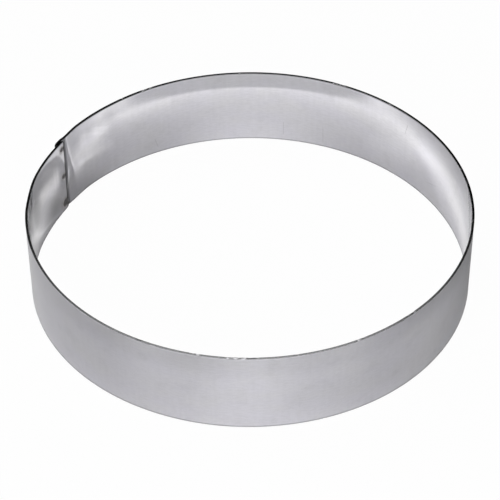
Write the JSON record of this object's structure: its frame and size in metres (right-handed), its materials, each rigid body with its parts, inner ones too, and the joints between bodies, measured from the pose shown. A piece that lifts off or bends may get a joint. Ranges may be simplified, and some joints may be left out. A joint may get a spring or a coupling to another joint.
{
  "type": "cake ring",
  "caption": "Open round band of stainless sheet, lapped and spot-welded at its seam, that shapes and cuts cakes and layered desserts on a tray or board.",
  "frame": {"origin": "on the ring's axis, in the plane of the lower rim that it stands on", "axes": "+Z along the ring's axis, from the lower rim to the upper one; +Y away from the picture's camera, with +X to its right and the seam at the back left"},
  "size_m": [0.202, 0.202, 0.04],
  "materials": {
    "mill_finish": "bright mill finish, satin outside",
    "heat_tinted": "dull, tinted by the weld's heat"
  },
  "bodies": {
    "root": {"ring_band": "mill_finish", "weld_spot_1": "heat_tinted", "weld_spot_2": "heat_tinted", "weld_spot_3": "heat_tinted"}
  },
  "joints": []
}
